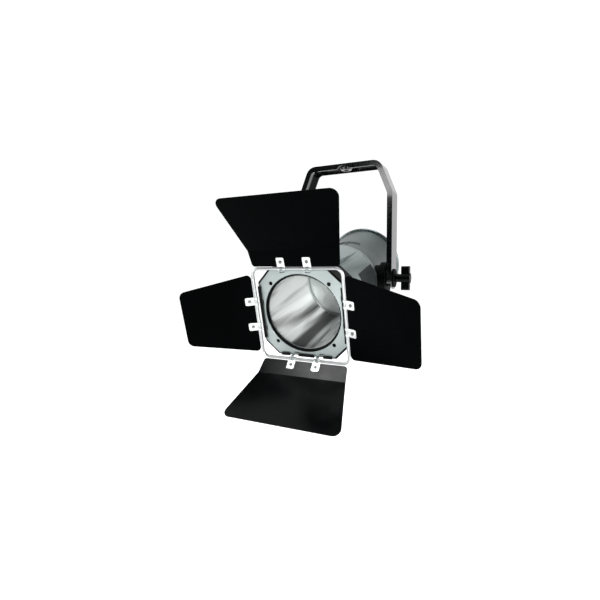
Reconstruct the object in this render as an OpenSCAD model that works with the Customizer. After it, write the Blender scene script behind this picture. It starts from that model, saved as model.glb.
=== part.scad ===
// Par can stage light with four barndoors, hung from a tilting yoke.
// The origin is the hanging hole in the yoke's top bar, at its upper face.
// +Z is up, the beam leaves towards -Y, the tilt knob is on the +X side.

/* [Yoke] */
// Outer width over the two legs
yoke_width = 243.2; // [236:1:260]
// Height of the hanging face above the tilt axis
yoke_drop = 280; // [270:1:320]
// Width of the strip that the channel is pressed from
yoke_strip = 55; // [50:1:60]
// Depth of the channel's edges
yoke_edge = 12.5; // [8:0.5:14]
// Sheet thickness of the yoke
yoke_gauge = 3; // [2.5:0.5:4]
// Width of the flat top, where the shoulders begin
shoulder_width = 182; // [170:1:200]
// Height of the sloping shoulders
shoulder_drop = 76; // [60:1:90]
// Outer radius of the bends
bend_r = 26; // [20:1:32]
// Diameter of the hanging hole
hanging_hole_d = 13; // [10.5:0.5:14]

/* [Head] */
// How far the head's front is tipped down
tilt_down = 12.7; // [0:0.1:30]
// Distance from the rod frame back to the tilt axis
frame_to_axis = 286.5; // [280:0.5:300]
// Outer radius of the front tube
tube_r = 90.4; // [88:0.1:90.5]
// Wall of the tube and the rear housing
shell_t = 1.8; // [1.5:0.1:2]
// Front of the tube, behind the rod frame
tube_front = 18.7; // [18:0.1:20]
// Rear ring of the tube, behind the rod frame
tube_rear = 253.5; // [250:0.5:254]
// Outer radius of the neck
neck_r = 84; // [82:0.5:85]
// Where the neck begins to flare
flare_start = 316; // [314:1:318]
// Centre of the rolled rim, behind the rod frame
rim_at = 441; // [435:1:445]
// Outer radius of the rolled rim
rim_r = 102; // [100:0.5:104]
// Depth of the rear cap
cap_depth = 42; // [36:1:50]

/* [Barndoor frame] */
// Half the side of the rod frame, to the rod's centre
frame_half = 95; // [95:0.5:97]
// Diameter of the rod
rod_d = 6; // [5:0.5:6]
// Radius of the rod frame's corners, to the rod's centre
frame_corner_r = 14; // [12:1:18]
// Half the side of the base plate
plate_half = 89; // [87:0.5:89]
// Corner cut of the base plate
plate_cut = 28; // [24:1:32]
// Radius of the round opening
opening_r = 81.8; // [76:0.1:82]
// Front face of the base plate, behind the rod frame
plate_at = 10.3; // [9:0.1:11]
// Offset of the four round holes from the centre, both ways
hole_offset = 62.2; // [60:0.1:64]

/* [Doors] */
// Sheet thickness of the doors
door_gauge = 1.2; // [1:0.1:1.5]
// How far each door is swung forward: top, right, bottom, left
door_swing = [8.2, 23.4, 52.9, 22.7]; // [0:0.1:60]
// Distance from the rod to the fold of the wide doors
fold_at = 37.9; // [34:0.1:42]
// Fold angle of the wide doors
fold_angle = 18.2; // [0:0.1:20]
// Length of the wide doors from the rod
wide_reach = 155; // [130:1:160]
// Half width of the wide doors at the outer edge
wide_half_outer = 121; // [100:1:125]
// Length of the side doors from the rod
side_reach = 157.4; // [130:0.2:160]
// Half height of the side doors at the outer edge
side_half_outer = 58.4; // [50:0.2:70]
// Radius of the doors' outer corners
door_corner_r = 14; // [6:1:18]

/* [Knob] */
// Length of the knob's cross bar
knob_span = 58; // [50:1:62]

/* [Hidden] */
$fn = 96;

// Clearances
running = 0.05;
fit_gap = 0.02;
gap = 0.1;

// Yoke, worked out
yoke_half = yoke_width / 2;
web_inner = yoke_half - yoke_gauge;
shoulder_lean = atan((yoke_half - shoulder_width / 2) / shoulder_drop);
relief_r = 17;
relief_rise = 9;
collar_r = 16.5;
collar_h = 8;

// Pivot stack, distances from the centre plane
stud_r = 5;
hub_base_r = 32;
hub_r = 39;
hub_step = 92;
hub_face = 107;
spacer_face = 117;
washer_t = 1.5;
outer_washer_t = 3;
knob_neck_face = yoke_half + outer_washer_t + gap;
knob_body_face = 139.5;
knob_end = 161;

// Tube and housing, worked out
tube_inner_r = tube_r - shell_t;
neck_inner_r = neck_r - shell_t;
bead_r = 5;
flare_end_r = rim_r - bead_r;
rear_flange_r = 80;
gusset_angles = [58, 122, 238, 302];
gusset_height = 18;
gusset_foot = 7;
gusset_t = 1.5;
vent_angles = [43.5, 136.5, 223.5, 316.5];
louvre_angles = [90, 210, 330];
louvre_at = flare_start + 10;
neck_screw_at = flare_start - 8;
gland_angle = 236;
gland_at = 400;
terminal_angle = 205;

// Holder, worked out
holder_half = 92;
holder_wall = 1.2;
holder_web = 1.2;
holder_opening_r = 78.4;
holder_front = 7;
holder_rear = 60;
lip_width = 6;
lip_length = 112;

// Clips
clip_offset = 27.4;
clip_width = 16.5;
clip_gap = 6.8;
clip_sheet = 1;
clip_reach = 23;
clip_screw_at = 14;
rod_r = rod_d / 2;
clip_ring_r = rod_r + running + clip_sheet;
tab_width = 6;

// Hinge of the rear cap
cap_hinge_z = -(rim_r + 5);
cap_hinge_y = rim_at + bead_r + 1;
hinge_pin_r = 1.5;
knuckle_r = 3;

function unit(v) = v / norm(v);

// Points of a rounded corner at b, between the neighbours a and c
function fillet(a, b, c, r, steps = 8) =
    let (
        u = unit(a - b),
        w = unit(c - b),
        half = acos(u * w) / 2,
        centre = b + unit(u + w) * r / sin(half),
        first = b + u * r / tan(half) - centre,
        last = b + w * r / tan(half) - centre,
        start = atan2(first[1], first[0]),
        turn = (atan2(last[1], last[0]) - start + 540) % 360 - 180
    )
    [for (i = [0:steps]) centre + r * [cos(start + turn * i / steps), sin(start + turn * i / steps)]];

// A closed outline with a radius at each of its points
function rounded(points, radii) =
    let (n = len(points))
    [for (i = [0:n - 1])
        each (radii[i] == 0 ? [points[i]]
            : fillet(points[(i + n - 1) % n], points[i], points[(i + 1) % n], radii[i]))];

// Square with cut corners
function octagon(half, cut) = [
    [half, half - cut], [half - cut, half], [cut - half, half], [-half, half - cut],
    [-half, cut - half], [cut - half, -half], [half - cut, -half], [half, cut - half]
];

// Right half of the yoke's outline, a given depth inside its outer face
function yoke_half_outline(depth) =
    let (
        r = bend_r - depth,
        kink = [yoke_half - bend_r, -shoulder_drop - bend_r * tan(shoulder_lean / 2)],
        corner = [shoulder_width / 2 - bend_r * tan((90 - shoulder_lean) / 2), -bend_r],
        steps = 10
    )
    concat(
        [[yoke_half - depth, -yoke_drop - yoke_strip]],
        [for (i = [0:steps]) kink + r * [cos(shoulder_lean * i / steps), sin(shoulder_lean * i / steps)]],
        [for (i = [0:steps])
            let (a = shoulder_lean + (90 - shoulder_lean) * i / steps) corner + r * [cos(a), sin(a)]]
    );

function yoke_outline(depth) =
    let (right = yoke_half_outline(depth), n = len(right))
    concat(right, [for (i = [n - 1:-1:0]) [-right[i][0], right[i][1]]]);

// The head's own frame: origin at the rod frame's centre, +Y back along the beam axis
module in_head() {
    translate([0, 0, -yoke_drop]) rotate([tilt_down, 0, 0]) translate([0, -frame_to_axis, 0]) children();
}

// Turns a profile of [radius, distance behind the rod frame] round the beam axis
module spun(profile) {
    rotate([-90, 0, 0]) rotate_extrude() polygon(profile);
}

// The same between two angles, counted from +X towards +Z
module spun_sector(profile, from, to) {
    rotate([-90, 0, 0]) rotate([0, 0, -to]) rotate_extrude(angle = to - from) polygon(profile);
}

// Local +X points out from the beam axis at this angle, local +Y runs back
module at_clock(angle, radius, back) {
    translate([0, back, 0]) rotate([0, -angle, 0]) translate([radius, 0, 0]) children();
}

// Cylinder along X from one distance to another
module x_cylinder(r, from, to) {
    translate([from, 0, 0]) rotate([0, 90, 0]) cylinder(r = r, h = to - from);
}

// Tilt axis, on the side given by 1 or -1
module on_pivot(side) {
    translate([0, 0, -yoke_drop]) mirror([side < 0 ? 1 : 0, 0, 0]) children();
}

// ---------- yoke ----------

module yoke_band(depth) {
    difference() {
        polygon(yoke_outline(0));
        polygon(yoke_outline(depth));
    }
}

module yoke_end_profile() {
    union() {
        translate([-yoke_strip / 2, -yoke_drop]) square([yoke_strip, yoke_drop + 1]);
        translate([0, -yoke_drop]) circle(r = yoke_strip / 2);
    }
}

module yoke_edge_strip() {
    rotate([90, 0, 0]) linear_extrude(yoke_gauge) yoke_band(yoke_edge);
}

module yoke() {
    color("#16181a") difference() {
        intersection() {
            union() {
                translate([0, yoke_strip / 2, 0]) rotate([90, 0, 0]) linear_extrude(yoke_strip)
                    yoke_band(yoke_gauge);
                translate([0, yoke_strip / 2, 0]) yoke_edge_strip();
                translate([0, yoke_gauge - yoke_strip / 2, 0]) yoke_edge_strip();
            }
            rotate([90, 0, 90]) linear_extrude(2 * yoke_width, center = true) yoke_end_profile();
        }
        translate([0, 0, -yoke_gauge - 1]) cylinder(d = hanging_hole_d, h = yoke_gauge + 2);
        // Spanner relief in the front edge, under the hanging hole
        translate([0, -yoke_strip / 2 - 1, -yoke_edge - relief_r + relief_rise]) rotate([-90, 0, 0])
            cylinder(r = relief_r, h = yoke_gauge + 2);
        for (side = [-1, 1]) on_pivot(side) x_cylinder(stud_r + running, web_inner - 1, yoke_half + 1);
    }
}

module hanging_collar() {
    color("#8d9092") translate([0, 0, -yoke_gauge - collar_h]) difference() {
        union() {
            cylinder(r1 = collar_r - 4, r2 = collar_r, h = collar_h - 3);
            translate([0, 0, collar_h - 3]) cylinder(r = collar_r, h = 3);
        }
        translate([0, 0, -1]) cylinder(d = hanging_hole_d, h = collar_h + 2);
        translate([0, 0, -0.01]) cylinder(d1 = hanging_hole_d + 5, d2 = hanging_hole_d, h = 2.5);
    }
}

module outer_washers() {
    color("#101112") for (side = [-1, 1]) on_pivot(side) difference() {
        x_cylinder(yoke_strip / 2 - 5, yoke_half, yoke_half + outer_washer_t);
        x_cylinder(stud_r + running, yoke_half - 1, yoke_half + outer_washer_t + 1);
    }
}

// ---------- can ----------

module tube_shell() {
    spun([
        [tube_inner_r, tube_front], [tube_r, tube_front], [tube_r, tube_rear],
        [rear_flange_r, tube_rear], [rear_flange_r, tube_rear - shell_t],
        [tube_inner_r, tube_rear - shell_t]
    ]);
}

// Tapering gusset from the accessory holder back along the tube, with a foot on the tube
module tube_gusset(angle) {
    length = tube_rear - holder_rear - 1.5;
    at_clock(angle, tube_r - 0.6, holder_rear + 0.5) {
        translate([0, 0, -gusset_foot]) cube([1.6, length, gusset_foot + gusset_t]);
        linear_extrude(gusset_t) polygon([[0, 0], [gusset_height, 0], [1.6, length], [0, length]]);
    }
}

module curved_slot(angle, spread, back, width, r_in, r_out) {
    spun_sector([[r_in, back], [r_out, back], [r_out, back + width], [r_in, back + width]],
        angle - spread, angle + spread);
}

module front_tube() {
    color("#9da3a2") in_head() difference() {
        union() {
            tube_shell();
            for (a = gusset_angles) tube_gusset(a);
        }
        for (a = vent_angles) curved_slot(a, 5.5, tube_rear - 10.5, 2.6, tube_inner_r - 2, tube_r + 2);
        // The gussets' feet stay out of the bore
        translate([0, tube_front - 1, 0]) rotate([-90, 0, 0])
            cylinder(r = tube_inner_r - 0.01, h = tube_rear - shell_t - tube_front + 0.9);
    }
}

// Outer radius of the flare at a distance behind the rod frame
function flare_r(back) =
    neck_r + (flare_end_r - neck_r) * pow((back - flare_start) / (rim_at - flare_start), 1.5);

function flare_points(inset, steps = 10) = [
    for (i = [0:steps])
        let (back = flare_start + (rim_at - flare_start) * i / steps) [flare_r(back) - inset, back]
];

module bell_shell() {
    outer = flare_points(0);
    inner = flare_points(shell_t);
    n = len(inner);
    spun(concat(outer, [for (i = [n - 1:-1:0]) inner[i]]));
    translate([0, rim_at, 0]) rotate([-90, 0, 0]) rotate_extrude()
        translate([flare_end_r, 0]) circle(r = bead_r, $fn = 48);
}

module louvre_brow(angle) {
    r = flare_r(louvre_at);
    spun_sector(
        [[r - 0.8, louvre_at - 4.5], [r + 2.6, louvre_at - 1.2], [r + 2.6, louvre_at], [r - 0.8, louvre_at]],
        angle - 21, angle + 21);
}

module hinge_lugs() {
    for (x = [-16, 10]) translate([x, cap_hinge_y, cap_hinge_z]) {
        rotate([0, 90, 0]) cylinder(r = knuckle_r, h = 6);
        translate([0, -knuckle_r - 5, -1]) cube([6, knuckle_r + 5, 8]);
    }
}

module neck() {
    color("#8f9695") in_head() difference() {
        spun([
            [neck_inner_r, tube_rear], [neck_r, tube_rear], [neck_r, flare_start], [neck_inner_r, flare_start]
        ]);
        for (a = [0, 180]) at_clock(a, neck_inner_r - 3, frame_to_axis) rotate([0, 90, 0])
            cylinder(r = stud_r + running, h = 12);
        for (a = louvre_angles) at_clock(a, neck_inner_r - 3, neck_screw_at) rotate([0, 90, 0])
            cylinder(r = 2, h = 12);
    }
}

module rear_bell() {
    color("#8f9695") in_head() difference() {
        union() {
            bell_shell();
            for (a = louvre_angles) louvre_brow(a);
            hinge_lugs();
            // Seat of the cable gland
            at_clock(gland_angle, flare_r(gland_at) - 4, gland_at) rotate([0, 90, 0]) cylinder(r = 15, h = 7);
            // Seat of the terminal block
            at_clock(terminal_angle, flare_r(gland_at) - 10, gland_at - 16) translate([0, 0, -12])
                cube([8.2, 32, 24]);
        }
        for (a = louvre_angles) curved_slot(a, 19, louvre_at - 7.6, 3, neck_inner_r - 3, neck_r + 3);
        at_clock(gland_angle, flare_r(gland_at) - 12, gland_at) rotate([0, 90, 0]) cylinder(r = 8.1, h = 24);
        translate([-20, cap_hinge_y, cap_hinge_z]) rotate([0, 90, 0]) cylinder(r = hinge_pin_r, h = 40);
    }
}

module neck_screws() {
    color("#5b5f60") in_head() for (a = louvre_angles) at_clock(a, neck_r, neck_screw_at) rotate([0, 90, 0]) {
        translate([0, 0, -shell_t - 2]) cylinder(r = 2, h = shell_t + 2.05);
        difference() {
            translate([0, 0, 0.05]) cylinder(r = 3.6, h = 1.8);
            translate([-0.5, -4, 1]) cube([1, 8, 2]);
        }
    }
}

module rating_plate() {
    color("#3b4041") in_head()
        curved_slot(15, 16, 145, 95, tube_r + 0.02, tube_r + 0.6);
}

// ---------- accessory holder and barndoor plate ----------

// Flat plate with cut corners and a round opening, its front face at a distance
module cut_plate(half, cut, back, thick) {
    translate([0, back + thick, 0]) rotate([90, 0, 0]) linear_extrude(thick) polygon(octagon(half, cut));
}

module y_cylinder(r, from, to) {
    translate([0, from, 0]) rotate([-90, 0, 0]) cylinder(r = r, h = to - from);
}

// Lip that keeps the plate in, along one side
module holder_lip(clock) {
    rotate([0, clock, 0]) {
        translate([-lip_length / 2, holder_front, holder_half - lip_width])
            cube([lip_length, holder_web, lip_width]);
        translate([-lip_length / 2, holder_front, holder_half - holder_wall])
            cube([lip_length, plate_at - holder_front + 4, holder_wall]);
    }
}

module accessory_holder() {
    inside = holder_half - holder_wall;
    inside_cut = plate_cut - 0.5;
    box_front = plate_at + 1.6;
    notch = 20;
    color("#121414") in_head() difference() {
        union() {
            difference() {
                cut_plate(holder_half, plate_cut, box_front, holder_rear - box_front);
                cut_plate(inside, inside_cut, plate_at + 1, tube_front - plate_at - 1 - holder_web);
                cut_plate(inside, inside_cut, tube_front, holder_rear - tube_front - holder_web);
            }
            for (clock = [90, 180, -90]) holder_lip(clock);
        }
        y_cylinder(holder_opening_r, 0, tube_front + 1);
        y_cylinder(tube_r + fit_gap, tube_front - fit_gap, holder_rear + 1);
        // Room for the plate's tabs in the bottom lip
        for (x = [-clip_offset, clip_offset])
            translate([x - notch / 2, holder_front - 1, -holder_half - 1])
                cube([notch, plate_at - holder_front + 4, lip_width + 2]);
    }
}

module holder_rivets() {
    color("#9a9d9e") in_head() for (a = [45, 135, 225, 315])
        at_clock(a, 98, tube_front - holder_web) rotate([90, 0, 0]) cylinder(r1 = 3, r2 = 2, h = 1.4);
}

module plate_tab(clock, along) {
    rotate([0, clock, 0]) translate([along - tab_width / 2, 0, 0]) {
        translate([0, -0.6, plate_half - 1.2]) cube([tab_width, plate_at + 1, 1.2]);
        translate([0, -0.6, plate_half - 1.2]) cube([tab_width, 1.2, frame_half - rod_r - plate_half + 1.2]);
        translate([0, 0, frame_half]) rotate([0, 90, 0]) cylinder(r = rod_r + clip_sheet, h = tab_width);
    }
}

module base_plate() {
    color("#b9c0be") in_head() difference() {
        union() {
            cut_plate(plate_half, plate_cut, plate_at, 1.2);
            for (clock = [0, 180], x = [-clip_offset, clip_offset]) plate_tab(clock, x);
        }
        y_cylinder(opening_r, plate_at - 1, plate_at + 3);
        for (x = [-hole_offset, hole_offset], z = [-hole_offset, hole_offset])
            translate([x, 0, z]) y_cylinder(4, plate_at - 1, plate_at + 3);
        for (clock = [0, 90, 180, -90], x = [-clip_offset - 6.5, clip_offset - 6.5])
            rotate([0, clock, 0]) translate([x - 5.5, plate_at - 1, plate_half - 5.2]) cube([11, 3, 2]);
        for (clock = [0, 180], x = [-clip_offset, clip_offset])
            rotate([0, clock, 0]) translate([x - tab_width, 0, frame_half]) rotate([0, 90, 0])
                cylinder(r = rod_r + fit_gap, h = 2 * tab_width);
    }
}

module rod_frame() {
    straight = 2 * (frame_half - frame_corner_r);
    color("#d5d8d8") in_head() for (clock = [0, 90, 180, 270]) rotate([0, clock, 0]) {
        translate([-straight / 2, 0, frame_half]) rotate([0, 90, 0])
            cylinder(r = rod_r, h = straight, $fn = 48);
        translate([straight / 2, 0, straight / 2]) rotate([90, 0, 0])
            rotate_extrude(angle = 90) translate([frame_corner_r, 0]) circle(r = rod_r, $fn = 48);
    }
}

// ---------- pivots ----------

module side_hubs() {
    color("#0f1010") difference() {
        for (side = [-1, 1]) on_pivot(side) {
            x_cylinder(hub_base_r, 70, hub_step);
            x_cylinder(hub_r, hub_step, hub_face);
        }
        in_head() y_cylinder(neck_r + gap, tube_rear - 20, rim_at - 60);
        for (side = [-1, 1]) on_pivot(side) x_cylinder(stud_r + fit_gap, 60, hub_face + 1);
    }
}

module washer_pair(r, from, to) {
    for (side = [-1, 1]) on_pivot(side) difference() {
        x_cylinder(r, from, to);
        x_cylinder(stud_r + running, from - 1, to + 1);
    }
}

module pivot_spacers() {
    color("#2a2c2d") washer_pair(20, hub_face, spacer_face);
}

module friction_washers() {
    color("#6d5a3a") washer_pair(22, spacer_face, spacer_face + washer_t);
}

module pivot_stud() {
    color("#a5a8aa") on_pivot(1) {
        x_cylinder(stud_r, 80, knob_end - 6);
        x_cylinder(8.5, 75, 80);
    }
}

module pivot_bolt() {
    color("#a5a8aa") on_pivot(-1) {
        x_cylinder(stud_r, 76, yoke_half + outer_washer_t);
        translate([yoke_half + outer_washer_t, 0, 0]) rotate([0, 90, 0]) cylinder(r = 9.8, h = 6.4, $fn = 6);
    }
}

module tilt_knob() {
    bar = rounded([[-8, -knob_span / 2], [8, -knob_span / 2], [8, knob_span / 2], [-8, knob_span / 2]],
        [5, 5, 5, 5]);
    color("#0b0c0c") on_pivot(1) difference() {
        union() {
            x_cylinder(10, knob_neck_face, knob_body_face);
            x_cylinder(12, knob_body_face, knob_end);
            translate([knob_body_face + 0.5, 0, 0]) rotate([90, 0, 90]) linear_extrude(19) polygon(bar);
        }
        x_cylinder(stud_r + running, knob_neck_face - 1, knob_end - 5);
    }
}

// ---------- lamp and wiring ----------

lamp_front = 243;
lamp_seat = tube_rear - shell_t;
bowl_end = 335;

module lamp_ring() {
    color("#a9aeb0") in_head() translate([0, lamp_front - 1.6, 0]) rotate([-90, 0, 0]) rotate_extrude()
        translate([tube_inner_r - 1.7, 0]) circle(r = 1.6, $fn = 32);
}

// Outer radius of the reflector bowl at a distance behind the rod frame
function bowl_r(back) = 26 + (79 - 26) * sqrt(max(0, 1 - (back - lamp_seat) / (bowl_end - lamp_seat)));

module lamp_lens() {
    color("#aab2b0") in_head() spun([
        [0, lamp_front - 2], [40, lamp_front - 1.4], [70, lamp_front], [86, lamp_front + 0.6],
        [86, lamp_front + 4], [0, lamp_front + 4]
    ]);
}

module lamp_reflector() {
    steps = 12;
    outer = [for (i = [0:steps]) let (b = lamp_seat + (bowl_end - lamp_seat) * i / steps) [bowl_r(b), b]];
    inner = [for (i = [steps:-1:0]) [outer[i][0] - 3, outer[i][1]]];
    color("#c9cdcc") in_head() spun(concat(
        [[76, lamp_front + 4], [86, lamp_front + 4], [86, lamp_seat]], outer, inner));
}

module lamp_base() {
    color("#d8d2c4") in_head() {
        y_cylinder(26, bowl_end, bowl_end + 16);
        for (x = [-8, 8]) translate([x - 3, bowl_end + 16, -1]) cube([6, 14, 2]);
    }
}

module lampholder() {
    color("#e4ded2") in_head() difference() {
        translate([-17, bowl_end + 17, -10]) cube([34, 26, 20]);
        for (x = [-8, 8]) translate([x - 3, bowl_end + 16, -1]) cube([6, 14, 2]);
    }
}

module lamp_leads() {
    color("#c8c4b8") in_head() for (x = [-6, 6]) translate([x, bowl_end + 43, 0]) rotate([-90, 0, 0])
        cylinder(r = 1.6, h = 18, $fn = 24);
}

module terminal_block() {
    color("#d9d6cc") in_head() at_clock(terminal_angle, flare_r(gland_at) - 26, gland_at - 14)
        translate([0, 0, -10]) difference() {
            cube([16, 28, 20]);
            for (z = [5, 10, 15]) translate([-1, 8, z]) rotate([0, 90, 0]) cylinder(r = 1.6, h = 8);
            for (z = [5, 10, 15]) translate([-1, 20, z]) rotate([0, 90, 0]) cylinder(r = 1.6, h = 8);
        }
}

module earth_screw() {
    color("#b08d3c") in_head() at_clock(terminal_angle - 22, flare_r(gland_at) - shell_t - 3.7, gland_at)
        rotate([0, 90, 0]) {
            cylinder(r = 3.5, h = 2);
            cylinder(r = 1.9, h = 3.2);
        }
}

// Frame on the flare's outside, with Z pointing out through the cable gland
module on_gland() {
    in_head() at_clock(gland_angle, flare_r(gland_at) + 3, gland_at) rotate([0, 90, 0]) children();
}

module cable_gland() {
    color("#141515") on_gland() difference() {
        union() {
            translate([0, 0, -9]) cylinder(r = 8, h = 9);
            cylinder(r = 12.5, h = 6, $fn = 6);
            translate([0, 0, 6]) cylinder(r = 9, h = 6);
        }
        translate([0, 0, -10]) cylinder(r = 4, h = 30);
    }
}

module gland_nut() {
    color("#141515") on_gland() difference() {
        translate([0, 0, 12]) union() {
            cylinder(r = 11.5, h = 6, $fn = 6);
            translate([0, 0, 6]) cylinder(r1 = 10, r2 = 6.5, h = 4);
        }
        translate([0, 0, 11]) cylinder(r = 4, h = 20);
    }
}

// ---------- rear cap ----------

module cap_shell() {
    face = rim_at + bead_r + 0.4;
    back = face + cap_depth;
    spun([
        [flare_end_r - 4, face], [flare_end_r + 3, face], [flare_end_r + 3, face + 1.5],
        [flare_end_r - 2, face + 3], [flare_end_r - 4, face + cap_depth * 0.45],
        [flare_end_r - 16, face + cap_depth * 0.82], [flare_end_r - 32, back],
        [0, back], [0, back - shell_t], [flare_end_r - 33, back - shell_t],
        [flare_end_r - 17.5, face + cap_depth * 0.82 - shell_t], [flare_end_r - 6, face + cap_depth * 0.43],
        [flare_end_r - 4, face + 3]
    ]);
}

module rear_cap() {
    face = rim_at + bead_r + 0.4;
    color("#8f9695") in_head() difference() {
        union() {
            cap_shell();
            translate([-9.8, cap_hinge_y, cap_hinge_z]) rotate([0, 90, 0]) cylinder(r = knuckle_r, h = 19.6);
            translate([-9.8, cap_hinge_y, cap_hinge_z - 0.5]) cube([19.6, knuckle_r, 10]);
        }
        translate([-20, cap_hinge_y, cap_hinge_z]) rotate([0, 90, 0])
            cylinder(r = hinge_pin_r + running, h = 40);
        for (r = [26, 40, 54], a = [0:60:300])
            curved_slot(a + r, 20, face + cap_depth - 6, 12, r, r + 4);
    }
}

module cap_clips() {
    face = rim_at + bead_r + 0.4;
    color("#2a2d2e") in_head() for (a = [-20, 200]) at_clock(a, rim_r + 0.4, 0) {
        translate([0, rim_at - bead_r, -5]) cube([1, bead_r * 2 + 3, 10]);
        translate([-2.38, face, -5]) cube([3.38, 1.5, 10]);
    }
}

module baffle_posts() {
    back = rim_at + bead_r + 0.4 + cap_depth - shell_t;
    color("#9a9d9e") in_head() for (a = [0, 120, 240]) at_clock(a, 14, back - 12) rotate([-90, 0, 0])
        cylinder(r = 2.5, h = 12);
}

module vent_baffle() {
    back = rim_at + bead_r + 0.4 + cap_depth - shell_t;
    color("#202222") in_head() y_cylinder(62, back - 13.2, back - 12);
}

module hinge_pin() {
    color("#a5a8aa") in_head() translate([-17, cap_hinge_y, cap_hinge_z]) rotate([0, 90, 0])
        cylinder(r = hinge_pin_r, h = 34);
}

// ---------- doors ----------

// Door frames, clockwise from the top: local X runs along the rod, local +Z out, -Y is the front
module on_side(index) {
    in_head() rotate([0, index * 90, 0]) translate([0, 0, frame_half])
        rotate([door_swing[index], 0, 0]) children();
}

module sheet(points) {
    translate([0, door_gauge / 2, 0]) rotate([90, 0, 0]) linear_extrude(door_gauge) polygon(points);
}

module screw_holes() {
    for (x = [-clip_offset, clip_offset]) translate([x, -2, clip_screw_at]) rotate([-90, 0, 0])
        cylinder(r = 2, h = 4);
}

module wide_leaf() {
    near = rod_r + 1.6;
    hinge_half = 91.7;
    fold_half = 95.2;
    reach = wide_reach - fold_at;
    difference() {
        union() {
            sheet(rounded(
                [[-hinge_half, near], [hinge_half, near], [fold_half, fold_at], [-fold_half, fold_at]],
                [7, 7, 0, 0]));
            translate([-fold_half, 0, fold_at]) rotate([0, 90, 0])
                cylinder(d = door_gauge, h = 2 * fold_half);
            translate([0, 0, fold_at]) rotate([fold_angle, 0, 0])
                sheet(rounded(
                    [[-fold_half, 0], [fold_half, 0], [wide_half_outer, reach], [-wide_half_outer, reach]],
                    [0, 0, door_corner_r, door_corner_r]));
        }
        screw_holes();
    }
}

module side_leaf() {
    near = rod_r + 1.2;
    root_half = 84;
    difference() {
        sheet(rounded(
            [
                [-root_half, near], [root_half, near],
                [side_half_outer, side_reach], [-side_half_outer, side_reach]
            ],
            [9, 9, door_corner_r, door_corner_r]));
        screw_holes();
    }
}

// Strap round the rod, open in the middle for a tab of the base plate
module clip() {
    half = clip_width / 2;
    outline = rounded([[-half, 0], [half, 0], [half, clip_reach], [-half, clip_reach]],
        [0, 0, 3, 3]);
    difference() {
        union() {
            translate([-clip_width / 2, 0, 0]) rotate([0, 90, 0]) cylinder(r = clip_ring_r, h = clip_width);
            translate([0, -door_gauge / 2, 0]) rotate([90, 0, 0]) linear_extrude(clip_sheet) polygon(outline);
        }
        translate([-clip_width, 0, 0]) rotate([0, 90, 0]) cylinder(r = rod_r + running, h = 2 * clip_width);
        translate([-clip_gap / 2, -clip_ring_r - 1, -clip_ring_r - 1])
            cube([clip_gap, 2 * clip_ring_r + 2, 2 * clip_ring_r + 1.4]);
        translate([0, -4, clip_screw_at]) rotate([-90, 0, 0]) cylinder(r = 2, h = 6);
    }
}

module clips() {
    for (x = [-clip_offset, clip_offset]) translate([x, 0, 0]) clip();
}

module clip_screws() {
    face = door_gauge / 2 + clip_sheet;
    for (x = [-clip_offset, clip_offset]) translate([x, 0, clip_screw_at]) rotate([90, 0, 0]) {
        translate([0, 0, -door_gauge / 2 - 1.8]) cylinder(r = 1.98, h = door_gauge + clip_sheet + 1.8);
        difference() {
            translate([0, 0, face]) cylinder(r1 = 3.4, r2 = 2.6, h = 1.8);
            rotate([0, 0, 30]) translate([-0.5, -4, face + 0.9]) cube([1, 8, 2]);
        }
        translate([0, 0, -door_gauge / 2 - 1.8]) difference() {
            cylinder(r = 3.4, h = 1.8, $fn = 6);
            translate([0, 0, -1]) cylinder(r = 1.97, h = 4);
        }
    }
}

module top_door() { color("#0d0f10") on_side(0) wide_leaf(); }
module top_door_clips() { color("#cfd2d2") on_side(0) clips(); }
module top_door_screws() { color("#a9acad") on_side(0) clip_screws(); }
module right_door() { color("#0d0f10") on_side(1) side_leaf(); }
module right_door_clips() { color("#cfd2d2") on_side(1) clips(); }
module right_door_screws() { color("#a9acad") on_side(1) clip_screws(); }
module bottom_door() { color("#0d0f10") on_side(2) wide_leaf(); }
module bottom_door_clips() { color("#cfd2d2") on_side(2) clips(); }
module bottom_door_screws() { color("#a9acad") on_side(2) clip_screws(); }
module left_door() { color("#0d0f10") on_side(3) side_leaf(); }
module left_door_clips() { color("#cfd2d2") on_side(3) clips(); }
module left_door_screws() { color("#a9acad") on_side(3) clip_screws(); }

yoke();
hanging_collar();
outer_washers();
front_tube();
neck();
rear_bell();
accessory_holder();
holder_rivets();
base_plate();
rod_frame();
side_hubs();
pivot_spacers();
friction_washers();
pivot_stud();
pivot_bolt();
neck_screws();
rating_plate();
lamp_ring();
lamp_lens();
lamp_reflector();
lamp_base();
lampholder();
lamp_leads();
terminal_block();
earth_screw();
cable_gland();
gland_nut();
hinge_pin();
rear_cap();
cap_clips();
vent_baffle();
baffle_posts();
tilt_knob();
top_door();
top_door_clips();
top_door_screws();
right_door();
right_door_clips();
right_door_screws();
bottom_door();
bottom_door_clips();
bottom_door_screws();
left_door();
left_door_clips();
left_door_screws();
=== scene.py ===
"""Par can light with barndoors: materials, fine pieces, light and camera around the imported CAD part."""

import math

import bmesh
import bpy
from mathutils import Matrix, Vector


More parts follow.
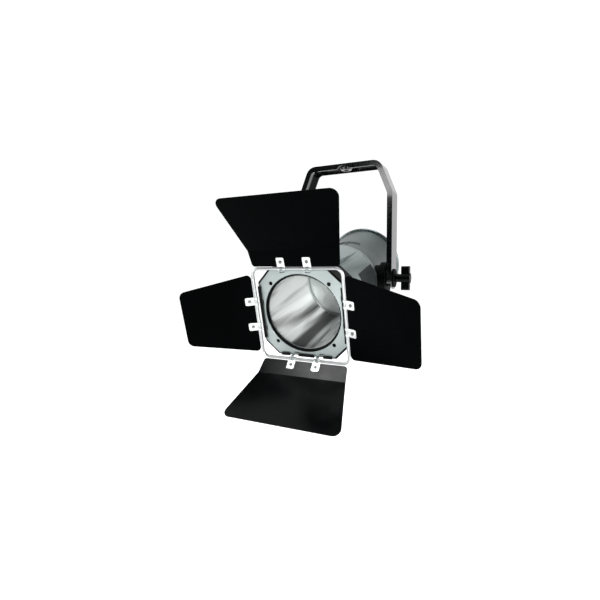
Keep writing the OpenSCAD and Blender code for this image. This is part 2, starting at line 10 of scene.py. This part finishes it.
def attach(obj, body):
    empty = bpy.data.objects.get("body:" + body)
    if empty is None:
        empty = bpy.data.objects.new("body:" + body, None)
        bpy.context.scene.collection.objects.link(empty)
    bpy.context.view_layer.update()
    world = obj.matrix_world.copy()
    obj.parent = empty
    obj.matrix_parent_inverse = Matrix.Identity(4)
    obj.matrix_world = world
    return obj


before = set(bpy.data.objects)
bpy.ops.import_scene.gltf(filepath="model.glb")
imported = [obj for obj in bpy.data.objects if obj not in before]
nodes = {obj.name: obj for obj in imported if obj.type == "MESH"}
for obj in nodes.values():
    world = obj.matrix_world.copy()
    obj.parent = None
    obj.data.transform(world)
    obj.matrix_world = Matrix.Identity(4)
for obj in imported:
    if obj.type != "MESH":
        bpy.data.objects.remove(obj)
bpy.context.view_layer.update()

PIVOT_DROP = 0.280          # top of the yoke down to the tilt axis
FRAME_TO_AXIS = 0.2865      # rod frame's centre back to the tilt axis
TILT = math.radians(12.7)   # nose down at rest
# From the head's own frame (origin at the rod frame's centre, +Y back) to the row frame
HEAD = (
    Matrix.Translation((0, 0, -PIVOT_DROP))
    @ Matrix.Rotation(TILT, 4, "X")
    @ Matrix.Translation((0, -FRAME_TO_AXIS, 0))
)


# ---------- camera ----------

SENSOR_WIDTH = 36.0
FOCAL_LENGTH = 24.0
NEAR_CLIP = 0.01
CAMERA_PLACE = (0.3359, -0.9795, -0.2371)
CAMERA_RIGHT = (0.90232, 0.43091, -0.01199)
CAMERA_UP = (-0.03048, 0.09152, 0.99534)
CAMERA_BACK = (0.42999, -0.89774, 0.09571)


def make_camera():
    data = bpy.data.cameras.new("camera")
    data.sensor_width = SENSOR_WIDTH
    data.lens = FOCAL_LENGTH
    data.clip_start = NEAR_CLIP
    camera = bpy.data.objects.new("camera", data)
    bpy.context.scene.collection.objects.link(camera)
    place = Matrix((CAMERA_RIGHT, CAMERA_UP, CAMERA_BACK)).transposed().to_4x4()
    place.translation = Vector(CAMERA_PLACE)
    camera.matrix_world = place
    bpy.context.scene.camera = camera


make_camera()
bpy.context.scene.view_settings.view_transform = "Standard"


# ---------- materials ----------

def add_node(tree, kind, values=None):
    node = tree.nodes.new(kind)
    for socket, value in (values or {}).items():
        node.inputs[socket].default_value = value
    return node


def map_range(tree, source, from_low, from_high, to_low, to_high):
    node = add_node(tree, "ShaderNodeMapRange", {
        "From Min": from_low, "From Max": from_high, "To Min": to_low, "To Max": to_high})
    tree.links.new(source, node.inputs["Value"])
    return node.outputs["Result"]


def colour_ramp(tree, source, stops):
    """A ramp through (position, colour) stops, lowest position first."""
    node = add_node(tree, "ShaderNodeValToRGB")
    first, last = node.color_ramp.elements[0], node.color_ramp.elements[1]
    first.position, first.color = stops[0][0], (*stops[0][1], 1)
    last.position, last.color = stops[-1][0], (*stops[-1][1], 1)
    for position, colour in stops[1:-1]:
        node.color_ramp.elements.new(position).color = (*colour, 1)
    tree.links.new(source, node.inputs["Fac"])
    return node.outputs["Color"]


class Look:
    """A Principled material whose colour, roughness and relief come from nodes."""

    def __init__(self, name):
        self.material = bpy.data.materials.new(name)
        self.material.use_nodes = True
        self.tree = self.material.node_tree
        self.shader = self.tree.nodes["Principled BSDF"]
        self.coords = self.tree.nodes.new("ShaderNodeTexCoord")

    def link(self, a, b):
        self.tree.links.new(a, b)

    def feed(self, source, socket):
        self.link(source, self.shader.inputs[socket])

    def fix(self, socket, value):
        self.shader.inputs[socket].default_value = value

    def mapped(self, vector, values):
        mapping = add_node(self.tree, "ShaderNodeMapping", values)
        self.link(vector, mapping.inputs["Vector"])
        return mapping.outputs["Vector"]

    def noise_on(self, vector, scale, detail):
        noise = add_node(self.tree, "ShaderNodeTexNoise", {"Scale": scale, "Detail": detail})
        self.link(vector, noise.inputs["Vector"])
        return noise.outputs["Fac"]

    def noise(self, scale, detail=4.0, stretch=(1, 1, 1), lean=0.0):
        """Noise in object space, leaning about X."""
        place = self.mapped(self.coords.outputs["Object"], {"Scale": stretch, "Rotation": (lean, 0, 0)})
        return self.noise_on(place, scale, detail)

    def along_head(self):
        """Object coordinates turned so that X and Y lie across the beam and Z runs along it."""
        drop = (0, PIVOT_DROP * math.cos(TILT), -PIVOT_DROP * math.sin(TILT))
        return self.mapped(self.coords.outputs["Object"], {
            "Rotation": (-TILT - math.pi / 2, 0, 0), "Location": drop})

    def streaks(self, vector, scale, detail, squeeze):
        """Noise drawn out along the head."""
        return self.noise_on(self.mapped(vector, {"Scale": (1, 1, squeeze)}), scale, detail)

    def ramp(self, source, stops):
        return colour_ramp(self.tree, source, stops)

    def remap(self, source, low, high, from_low=0.3, from_high=0.7):
        return map_range(self.tree, source, from_low, from_high, low, high)

    def relief(self, source, strength, depth):
        bump = add_node(self.tree, "ShaderNodeBump", {"Strength": strength, "Distance": depth})
        self.link(source, bump.inputs["Height"])
        self.feed(bump.outputs["Normal"], "Normal")

    def mixed(self, factor, colour_a, colour_b):
        mix = self.tree.nodes.new("ShaderNodeMix")
        mix.data_type = "RGBA"
        self.link(factor, mix.inputs["Factor"])
        self.link(colour_a, mix.inputs["A"])
        mix.inputs["B"].default_value = (*colour_b, 1)
        return mix.outputs["Result"]


def shade(colour, factor):
    return tuple(min(1.0, c * factor) for c in colour)


def cloudy(look, scale, detail, colour, spread, low=0.3, high=0.7):
    """Base tone that drifts either side of one colour."""
    return look.ramp(look.noise(scale, detail), [
        (low, shade(colour, 1 - spread)), (high, shade(colour, 1 + spread))])


CHIP_GREY = (0.16, 0.165, 0.17)
PAINT_SPREAD, PAINT_PEEL_DEPTH = 0.35, 0.00003


def painted(name, colour, rough, coat=0.0, peel=0.25, wear=0.35, sheen=0.5, coat_rough=0.12):
    """Sprayed paint: orange peel, cloudy gloss, a few small chips and scuffs."""
    look = Look(name)
    base = cloudy(look, 9.0, 5.0, colour, PAINT_SPREAD)
    scuffs = look.noise(170.0, 8.0, (1, 0.35, 1), 0.6)
    chips = look.remap(scuffs, 0.0, wear, 0.66, 0.74)
    look.feed(look.mixed(chips, base, CHIP_GREY), "Base Color")
    look.feed(look.remap(look.noise(26.0, 6.0), rough * 0.82, rough * 1.22), "Roughness")
    look.relief(look.noise(900.0, 2.0), peel, PAINT_PEEL_DEPTH)
    look.fix("Specular IOR Level", sheen)
    look.fix("Coat Weight", coat)
    look.fix("Coat Roughness", coat_rough)
    return look.material


METAL_SPREAD, METAL_GRAIN_DEPTH = 0.12, 0.00008


def metal(name, colour, rough, stretch=(1, 1, 1), grain=420.0, relief=0.04):
    """Bare or plated metal: drawn grain, cloudy tone, handling marks."""
    look = Look(name)
    base = cloudy(look, 14.0, 6.0, colour, METAL_SPREAD)
    marks = look.remap(look.noise(75.0, 9.0), 0.0, 0.12, 0.60, 0.85)
    look.feed(look.mixed(marks, base, shade(colour, 0.8)), "Base Color")
    polish = look.noise(grain * 0.5, 4.0, stretch)
    look.feed(look.remap(polish, rough * 0.9, rough * 1.12), "Roughness")
    look.relief(look.noise(grain, 3.0, stretch), relief, METAL_GRAIN_DEPTH)
    look.fix("Metallic", 1.0)
    return look.material


MOULD_TEXTURE_DEPTH = 0.0001


def moulded(name, colour, rough, grain=1400.0, relief=0.3, spread=0.25, sheen=0.5):
    """Moulded plastic or ceramic: fine spark texture, slight dust tone."""
    look = Look(name)
    look.feed(cloudy(look, 40.0, 6.0, colour, spread, low=0.35), "Base Color")
    look.feed(look.remap(look.noise(120.0, 5.0), rough * 0.85, rough * 1.2), "Roughness")
    look.relief(look.noise(grain, 2.0), relief, MOULD_TEXTURE_DEPTH)
    look.fix("Specular IOR Level", sheen)
    return look.material


STIPPLE_SCALE, STIPPLE_DEPTH = 260.0, 0.0006
FACE_DARK, FACE_LIGHT = (0.24, 0.26, 0.255), (0.32, 0.345, 0.335)
FACE_METALLIC = 0.35


def frosted_glass(name):
    """The lamp's face: fine stipple over a grey bowl."""
    look = Look(name)
    cells = add_node(look.tree, "ShaderNodeTexVoronoi", {"Scale": STIPPLE_SCALE})
    look.link(look.coords.outputs["Object"], cells.inputs["Vector"])
    look.feed(look.ramp(look.noise(12.0, 4.0), [(0.3, FACE_DARK), (0.7, FACE_LIGHT)]), "Base Color")
    look.feed(look.remap(look.noise(60.0, 3.0), 0.38, 0.55), "Roughness")
    look.relief(cells.outputs["Distance"], 0.35, STIPPLE_DEPTH)
    look.fix("Metallic", FACE_METALLIC)
    return look.material


LINER_METAL = (0.93, 0.95, 0.94)
# Painted reflection: position in the noise, and share of the metal's tone there; the dark shares stand in
# for dark surroundings seen in the sheet
LINER_REFLECTION_TONES = ((0.40, 0.08), (0.47, 0.45), (0.54, 1.0))
LINER_STREAK_DEPTH = 0.0002
LINER_METALLIC = 0.35


def polished_with_painted_streaks(name):
    """Inside of the tube: bright rolled sheet; the darker streaks along its length in its colour are
    painted reflection.
    """
    look = Look(name)
    across = look.along_head()
    fine = look.streaks(across, 55.0, 6.0, 0.03)
    # Broad dark streaks in the colour: painted reflection
    broad_reflection_streaks = look.streaks(across, 24.0, 2.0, 0.10)
    base = look.ramp(broad_reflection_streaks, [(place, shade(LINER_METAL, share)) for place, share in LINER_REFLECTION_TONES])
    # Fine dark lines in the colour: painted reflection; the same noise is the sheet's grain in roughness
    # and relief
    fine_reflection_streaks = look.remap(fine, 0.0, 0.4, 0.52, 0.75)
    look.feed(look.mixed(fine_reflection_streaks, base, shade(LINER_METAL, 0.3)), "Base Color")
    look.feed(look.remap(fine, 0.24, 0.36), "Roughness")
    look.relief(fine, 0.05, LINER_STREAK_DEPTH)
    look.fix("Metallic", LINER_METALLIC)
    return look.material


BLACK_GLOSS = painted("black_gloss", (0.003, 0.0036, 0.0038), 0.13, coat=0.8, peel=0.0, wear=0.0,
                      sheen=0.4, coat_rough=0.05)
BLACK_SATIN = painted("black_satin", (0.0003, 0.0006, 0.0007), 0.36, peel=0.12, wear=0.002, sheen=0.012)
# Lit copy of the doors' black paint, for the bottom door only: lighter and glossier, so that this door
# shows a painted sheen
DOOR_PAINT_LIT_COPY = painted("door_paint_lit_copy", (0.0008, 0.0016, 0.0018), 0.22, peel=0.06, wear=0.004, sheen=0.26)
BLACK_HOLDER = painted("black_holder", (0.002, 0.0025, 0.0025), 0.42, peel=0.2, wear=0.02, sheen=0.1)
# Dark sheet on the tube, put where the right door's shadow falls: painted shadow
DOOR_SHADOW_SHEET = painted("door_shadow_sheet", (0.010, 0.013, 0.013), 0.45, peel=0.2, wear=0.05, sheen=0.2)
BAFFLE_BLACK = painted("baffle_black", (0.01, 0.01, 0.01), 0.7, peel=0.5)
CAN_METAL = metal("can_metal", (0.36, 0.42, 0.42), 0.34, (1.0, 0.1, 1.0), 300.0)
REAR_METAL = metal("rear_metal", (0.145, 0.172, 0.172), 0.34, (1.0, 1.0, 1.0), 260.0)
PLATE_METAL = metal("plate_metal", (0.31, 0.35, 0.345), 0.42, (0.08, 1.0, 1.0), 340.0)
BRIGHT_ZINC = metal("bright_zinc", (0.50, 0.52, 0.52), 0.32, (1, 1, 1), 300.0, relief=0.02)
ZINC_CLIP = metal("zinc_clip", (0.60, 0.63, 0.62), 0.26, (1, 1, 1), 600.0)
STEEL = metal("steel", (0.56, 0.57, 0.58), 0.28)
DARK_STEEL = metal("dark_steel", (0.18, 0.185, 0.19), 0.36)
BRASS = metal("brass", (0.69, 0.52, 0.22), 0.28)
SILVERED = metal("silvered", (0.80, 0.81, 0.81), 0.10, (1, 1, 1), 160.0)
KNOB_BLACK = moulded("knob_black", (0.001, 0.0012, 0.0013), 0.34, relief=0.15, sheen=0.08)
FIBRE_BLACK = moulded("fibre_black", (0.001, 0.001, 0.001), 0.65, sheen=0.06)
HUB_BLACK = moulded("hub_black", (0.0008, 0.0009, 0.001), 0.5, sheen=0.04)
FIBRE_BROWN = moulded("fibre_brown", (0.20, 0.14, 0.08), 0.7)
CERAMIC = moulded("ceramic", (0.78, 0.74, 0.66), 0.5, spread=0.08)
SLEEVE = moulded("sleeve", (0.70, 0.68, 0.62), 0.85, grain=2600.0, relief=0.8, spread=0.12)
LAMP_FACE = frosted_glass("lamp_face")
INNER_BRIGHT = polished_with_painted_streaks("inner_bright")

NODE_LOOKS = {
    "yoke": BLACK_GLOSS, "hanging_collar": BLACK_GLOSS, "outer_washers": FIBRE_BLACK,
    "front_tube": CAN_METAL, "neck": REAR_METAL, "rear_bell": REAR_METAL, "rear_cap": REAR_METAL,
    "accessory_holder": BLACK_HOLDER, "holder_rivets": STEEL, "base_plate": PLATE_METAL,
    "rod_frame": BRIGHT_ZINC, "side_hubs": HUB_BLACK, "pivot_spacers": HUB_BLACK,
    "friction_washers": FIBRE_BROWN, "pivot_stud": STEEL, "pivot_bolt": STEEL,
    # rating_plate is a dark sheet standing in for the right door's shadow on the tube: painted shadow
    "neck_screws": DARK_STEEL, "rating_plate": DOOR_SHADOW_SHEET, "lamp_ring": LAMP_FACE,
    "lamp_lens": LAMP_FACE, "lamp_reflector": SILVERED, "lamp_base": CERAMIC,
    "lampholder": CERAMIC, "lamp_leads": SLEEVE, "terminal_block": CERAMIC,
    "earth_screw": BRASS, "cable_gland": FIBRE_BLACK, "gland_nut": FIBRE_BLACK,
    "hinge_pin": STEEL, "cap_clips": BLACK_HOLDER, "vent_baffle": BAFFLE_BLACK,
    "baffle_posts": STEEL, "tilt_knob": KNOB_BLACK,
}
for side in ("top", "right", "bottom", "left"):
    NODE_LOOKS[side + "_door"] = BLACK_SATIN
    NODE_LOOKS[side + "_door_clips"] = ZINC_CLIP
    NODE_LOOKS[side + "_door_screws"] = DARK_STEEL
# The bottom door takes the lit copy of the door paint: painted sheen
NODE_LOOKS["bottom_door"] = DOOR_PAINT_LIT_COPY

# Width of the rounded edges, in metres, where it isn't the usual one; 0 adds none
EDGES = {
    "yoke": 0.0009, "tilt_knob": 0.0012, "side_hubs": 0.0015, "rod_frame": 0.0,
    "lamp_ring": 0.0, "lamp_lens": 0.0, "lamp_reflector": 0.0, "hinge_pin": 0.0,
    "neck": 0.0002, "rear_bell": 0.0003, "front_tube": 0.0004, "rating_plate": 0.0001,
}
USUAL_EDGE = 0.00028
EDGE_STEPS = 2
EDGE_ANGLE = math.radians(35)
WELD_DISTANCE = 0.00001

# Half widths of the yoke at its legs and its top bar, and the shoulders' height
YOKE_LEG_X, YOKE_BAR_X, SHOULDER_HEIGHT = 0.1216, 0.091, 0.076
SHOULDER_LEAN = math.atan((YOKE_LEG_X - YOKE_BAR_X) / SHOULDER_HEIGHT)
SAME_PLANE = 0.9999
# The yoke's flat faces, which are shaded flat
YOKE_PLANES = [Vector(n) for n in (
    (1, 0, 0), (0, 1, 0), (0, 0, 1),
    (math.cos(SHOULDER_LEAN), 0, math.sin(SHOULDER_LEAN)),
    (-math.cos(SHOULDER_LEAN), 0, math.sin(SHOULDER_LEAN)),
)]


def level(name, polygon):
    """True for a door's faces and the yoke's flat faces."""
    on_plane = any(abs(polygon.normal.dot(n)) > SAME_PLANE for n in YOKE_PLANES)
    return name.endswith("_door") or (name == "yoke" and on_plane)


def weigh_normals(o):
    o.modifiers.new("normals", "WEIGHTED_NORMAL").keep_sharp = True


def dress(name):
    """Material, welded seams, rounded edges and even shading for one CAD node."""
    o = nodes[name]
    mesh = o.data
    mesh.materials.clear()
    mesh.materials.append(NODE_LOOKS[name])
    for polygon in mesh.polygons:
        polygon.material_index = 0
        polygon.use_smooth = not level(name, polygon)
    if "custom_normal" in mesh.attributes:
        mesh.attributes.remove(mesh.attributes["custom_normal"])
    weld = o.modifiers.new("weld", "WELD")
    weld.merge_threshold = WELD_DISTANCE
    width = EDGES.get(name, USUAL_EDGE)
    if width:
        bevel = o.modifiers.new("edges", "BEVEL")
        bevel.width = width
        bevel.segments = EDGE_STEPS
        bevel.limit_method = "ANGLE"
        bevel.angle_limit = EDGE_ANGLE
    weigh_normals(o)


for node_name in NODE_LOOKS:
    dress(node_name)


# ---------- extra pieces, in mesh code ----------

def piece(name, verts, faces, material, body):
    mesh = bpy.data.meshes.new(name)
    mesh.from_pydata([tuple(v) for v in verts], [], faces)
    bm = bmesh.new()
    bm.from_mesh(mesh)
    bmesh.ops.recalc_face_normals(bm, faces=bm.faces)
    bm.to_mesh(mesh)
    bm.free()
    mesh.materials.append(material)
    for polygon in mesh.polygons:
        polygon.use_smooth = True
    o = bpy.data.objects.new(name, mesh)
    bpy.context.scene.collection.objects.link(o)
    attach(o, body)
    return o


def head_point(radius, back, degrees):
    a = math.radians(degrees)
    return HEAD @ Vector((radius * math.cos(a), back, radius * math.sin(a)))


def ring_piece(name, profile, material, body, start=0.0, end=360.0, steps=144):
    """A closed (radius, distance back) outline turned round the beam axis."""
    whole = end - start >= 360
    count = steps if whole else steps + 1
    verts, faces = [], []
    n = len(profile)
    for i in range(count):
        a = start + (end - start) * i / steps
        verts += [head_point(r, back, a) for r, back in profile]
    for i in range(steps):
        j = (i + 1) % count
        faces += [(i * n + k, i * n + (k + 1) % n, j * n + (k + 1) % n, j * n + k) for k in range(n)]
    if not whole:
        faces += [tuple(range(n)), tuple((count - 1) * n + k for k in range(n))]
    o = piece(name, verts, faces, material, body)
    weigh_normals(o)


LINER_OUT, LINER_IN = 0.08856, 0.08836
SEAM_IN = LINER_IN - 0.0004
SEAM_START, SEAM_END, SEAM_STEPS = -154.0, -149.5, 6
FINE_STEPS = 192
ring_piece("tube_liner",
           [(LINER_IN, 0.0190), (LINER_OUT, 0.0188), (LINER_OUT, 0.2395), (LINER_IN, 0.2393)],
           INNER_BRIGHT, "head", steps=FINE_STEPS)
ring_piece("liner_seam",
           [(SEAM_IN, 0.0200), (LINER_IN, 0.0195), (LINER_IN, 0.2390), (SEAM_IN, 0.2385)],
           INNER_BRIGHT, "head", SEAM_START, SEAM_END, SEAM_STEPS)
# Black ring at the holder's round opening, standing in for the shadow in the gap there (painted shadow),
# and the bright lip inside it
ring_piece("mouth_shadow_ring",
           [(0.0776, 0.0172), (0.0784, 0.0171), (0.0784, 0.0188), (0.0776, 0.0187)],
           BLACK_HOLDER, "head", steps=FINE_STEPS)
ring_piece("mouth_trim",
           [(0.0770, 0.0166), (0.0775, 0.0164), (0.0776, 0.0187), (0.0770, 0.0185)],
           ZINC_CLIP, "head", steps=FINE_STEPS)


# ---------- floor, light and backdrop ----------

FLOOR_Z = -0.80
FLOOR_HALF = 14.0
FLOOR_TONES = ((0.3, (0.90, 0.90, 0.90)), (0.7, (0.93, 0.93, 0.93)))
FLOOR_GLOW = 0.78


def make_floor():
    mesh = bpy.data.meshes.new("floor")
    corners = ((-1, -1), (1, -1), (1, 1), (-1, 1))
    mesh.from_pydata([(x * FLOOR_HALF, y * FLOOR_HALF, FLOOR_Z) for x, y in corners], [], [(0, 1, 2, 3)])
    floor = bpy.data.objects.new("floor", mesh)
    bpy.context.scene.collection.objects.link(floor)
    look = Look("floor_white")
    look.feed(look.ramp(look.noise(1.5), FLOOR_TONES), "Base Color")
    look.feed(look.remap(look.noise(3.0), 0.7, 0.8), "Roughness")
    look.fix("Specular IOR Level", 0.0)
    look.fix("Emission Color", (1, 1, 1, 1))
    look.fix("Emission Strength", FLOOR_GLOW)
    mesh.materials.append(look.material)


def hang_light(data, name, place, aim, power):
    data.energy = power
    light = bpy.data.objects.new(name, data)
    bpy.context.scene.collection.objects.link(light)
    light.location = place
    light.rotation_euler = (Vector(aim) - Vector(place)).to_track_quat("-Z", "Y").to_euler()


def area_light(name, place, aim, width, height, power):
    data = bpy.data.lights.new(name, "AREA")
    data.shape = "RECTANGLE"
    data.size, data.size_y = width, height
    hang_light(data, name, place, aim, power)


SPOT_CONE = math.radians(7.4)
SPOT_BLEND = 0.5


def spot_light(name, place, aim, size, power):
    """A lamp with a narrow soft-edged cone, for the inside of the tube."""
    data = bpy.data.lights.new(name, "SPOT")
    data.spot_size = SPOT_CONE
    data.spot_blend = SPOT_BLEND
    data.shadow_soft_size = size
    hang_light(data, name, place, aim, power)


SEEN_STRENGTH = 1.05
# What the object sees, from the camera's side (-Y) to the back
AROUND_TONES = (
    (0.0, (0.02, 0.02, 0.021)), (0.30, (0.10, 0.10, 0.105)),
    (0.60, (0.75, 0.75, 0.75)), (1.0, (1.0, 1.0, 1.0)),
)
# A darker patch high on the right, which shades the right side of the head
PATCH_WAY = (0.8, 0.0, 0.6)
PATCH_START, PATCH_FULL = 0.36, 0.66
AROUND_STRENGTH, PATCH_STRENGTH = 0.85, 0.50


def make_world():
    """White backdrop for the camera; for everything else, light that is dim on the camera's side."""
    world = bpy.data.worlds.new("studio")
    bpy.context.scene.world = world
    world.use_nodes = True
    tree = world.node_tree
    tree.nodes.clear()
    coords = add_node(tree, "ShaderNodeTexCoord")
    parts = add_node(tree, "ShaderNodeSeparateXYZ")
    seen = add_node(tree, "ShaderNodeBackground", {"Color": (1, 1, 1, 1), "Strength": SEEN_STRENGTH})
    around = add_node(tree, "ShaderNodeBackground")
    path = add_node(tree, "ShaderNodeLightPath")
    mix = add_node(tree, "ShaderNodeMixShader")
    out = add_node(tree, "ShaderNodeOutputWorld")
    along = add_node(tree, "ShaderNodeVectorMath")
    along.operation = "DOT_PRODUCT"
    along.inputs[1].default_value = PATCH_WAY
    link = tree.links.new
    link(coords.outputs["Generated"], parts.inputs[0])
    depth = map_range(tree, parts.outputs["Y"], -1.0, 1.0, 0.0, 1.0)
    link(colour_ramp(tree, depth, AROUND_TONES), around.inputs["Color"])
    link(coords.outputs["Generated"], along.inputs[0])
    fade = map_range(tree, along.outputs["Value"], PATCH_START, PATCH_FULL, AROUND_STRENGTH, PATCH_STRENGTH)
    link(fade, around.inputs["Strength"])
    link(path.outputs["Is Camera Ray"], mix.inputs["Fac"])
    link(around.outputs[0], mix.inputs[1])
    link(seen.outputs[0], mix.inputs[2])
    link(mix.outputs[0], out.inputs["Surface"])


HEAD_MIDDLE = (0, -0.1, -0.28)
MOUTH = (0, -0.262, -0.341)
# maker, name, place, aim, then width and height or lamp size, then watts
LIGHTS = (
    (area_light, "right_box", (1.6, 0.1, 0.1), HEAD_MIDDLE, 0.9, 1.4, 26),
    (area_light, "left_box", (-1.5, -0.9, 0.2), (0, -0.2, -0.28), 0.9, 1.3, 16),
    (area_light, "top_box", (0.1, 0.0, 1.4), HEAD_MIDDLE, 1.2, 1.0, 16),
    (spot_light, "mouth_fill", (0.72, -1.55, -0.30), MOUTH, 0.10, 250),
    (spot_light, "axis_fill", (0.05, -1.64, -0.645), MOUTH, 0.08, 60),
    (area_light, "leaf_box", (-0.50, -0.96, 0.90), (0, -0.27, -0.45), 0.42, 0.40, 4),
    (area_light, "shoulder_box", (-0.60, -2.89, 0.50), (0.10, -0.03, -0.05), 0.22, 0.26, 1.2),
)

make_floor()
make_world()
for make_light, *facts in LIGHTS:
    make_light(*facts)
